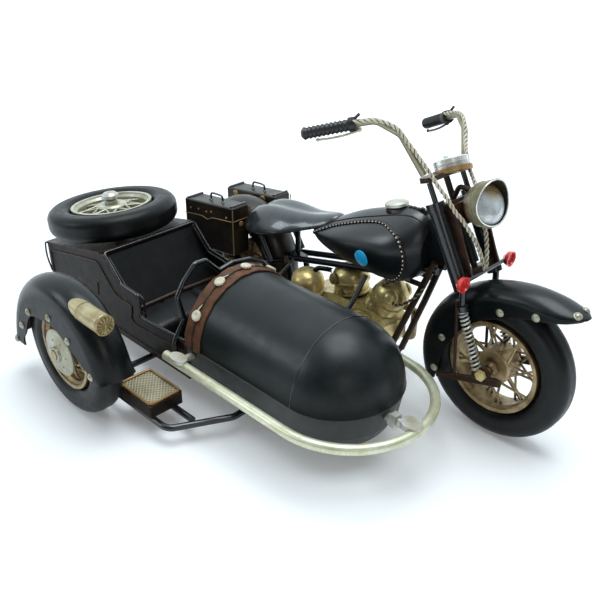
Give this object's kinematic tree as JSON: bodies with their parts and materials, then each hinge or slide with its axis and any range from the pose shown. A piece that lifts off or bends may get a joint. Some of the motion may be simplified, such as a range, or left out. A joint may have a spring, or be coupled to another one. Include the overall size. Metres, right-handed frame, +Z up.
{
  "type": "tin motorcycle with sidecar",
  "caption": "Tinplate display motorcycle with a sidecar, spare wheel and luggage cases; its fork steers and its road wheels roll.",
  "frame": {"origin": "bottom centre of the whole model's box, on the floor under the tyres", "axes": "+X ahead, +Y to the rider's left (the sidecar is on the right, -Y), +Z up"},
  "size_m": [0.4059, 0.2611, 0.1982],
  "materials": {
    "black_paint": "satin black lacquer, rubbed brown along the edges",
    "grey_paint": "satin grey-black lacquer",
    "brown_paint": "dark brown lacquer with black shading",
    "tyre_rubber": "smooth satin black",
    "gold_wheel": "antique pale gold with brown shading",
    "antique_silver": "antique silver with gold shading",
    "gold_bumper": "pale gold lacquer, a little mottled",
    "brass_engine": "antique brass lacquer with brown shading",
    "gold_mesh": "pale gold mesh in an orange-gold edge",
    "lamp_mirror": "silvered glass dome, mottled",
    "red_enamel": "gloss red",
    "black_grip": "satin black, ribbed",
    "brown_leather": "worn brown, dark stitched cord"
  },
  "bodies": {
    "motorcycle": {"air_cleaner": "brass_engine", "body_box": "black_paint", "bumper_bar": "gold_bumper", "bumper_brackets": "antique_silver", "chassis_cross_tube": "black_paint", "chassis_outer_tube": "black_paint", "chassis_rails": "black_paint", "cockpit_rim": "black_paint", "cockpit_strap": "brown_leather", "crankcase": "brass_engine", "exhaust_pipes": "brass_engine", "footrest_box": "black_paint", "footrest_tread": "gold_mesh", "frame_backbone": "black_paint", "frame_down_tubes": "brown_paint", "frame_lower_rails": "black_paint", "frame_rear_stays": "black_paint", "front_cylinder": "brass_engine", "fuel_cap": "antique_silver", "fuel_tank": "black_paint", "hull_nose": "black_paint", "hull_top": "black_paint", "hull_tub": "grey_paint", "intake_pipe": "black_paint", "luggage_box_left": "black_paint", "luggage_box_right": "black_paint", "rear_axle": "antique_silver", "rear_cylinder": "brass_engine", "rear_deck": "black_paint", "rear_fender": "black_paint", "saddle": "black_paint", "saddle_post": "black_paint", "seat_back": "black_paint", "seat_cushion": "black_paint", "side_axle": "antique_silver", "side_fender": "black_paint", "side_lamp": "antique_silver", "sidecar_struts": "antique_silver", "spare_hub_cap": "antique_silver", "spare_tyre": "tyre_rubber", "spare_wheel": "gold_wheel", "windscreen_hoop": "black_paint"},
    "fork": {"front_axle": "antique_silver", "front_fender": "black_paint", "fork_legs": "black_paint", "fork_springs": "antique_silver", "fork_links": "brown_paint", "steering_stem": "brown_paint", "handlebar": "antique_silver", "handlebar_grips": "black_grip", "instrument": "antique_silver", "headlamp": "antique_silver", "headlamp_lens": "lamp_mirror", "signal_cups": "red_enamel"},
    "front_wheel_set": {"front_tyre": "tyre_rubber", "front_wheel": "gold_wheel"},
    "rear_wheel_set": {"rear_tyre": "tyre_rubber", "rear_wheel": "gold_wheel"},
    "side_wheel_set": {"side_tyre": "tyre_rubber", "side_wheel": "gold_wheel"}
  },
  "joints": [
    {"name": "steering", "type": "hinge", "parent": "motorcycle", "child": "fork", "pos_m": [0.116, 0.0634, 0.125], "axis": [-0.4695, 0, 0.8829], "range_deg": [-30, 12]},
    {"name": "front_spin", "type": "hinge", "parent": "fork", "child": "front_wheel_set", "pos_m": [0.151, 0.0634, 0.05], "axis": [0, 1, 0], "continuous": true},
    {"name": "rear_spin", "type": "hinge", "parent": "motorcycle", "child": "rear_wheel_set", "pos_m": [-0.085, 0.0634, 0.046], "axis": [0, 1, 0], "continuous": true},
    {"name": "side_spin", "type": "hinge", "parent": "motorcycle", "child": "side_wheel_set", "pos_m": [-0.0596, -0.1146, 0.046], "axis": [0, 1, 0], "continuous": true}
  ]
}
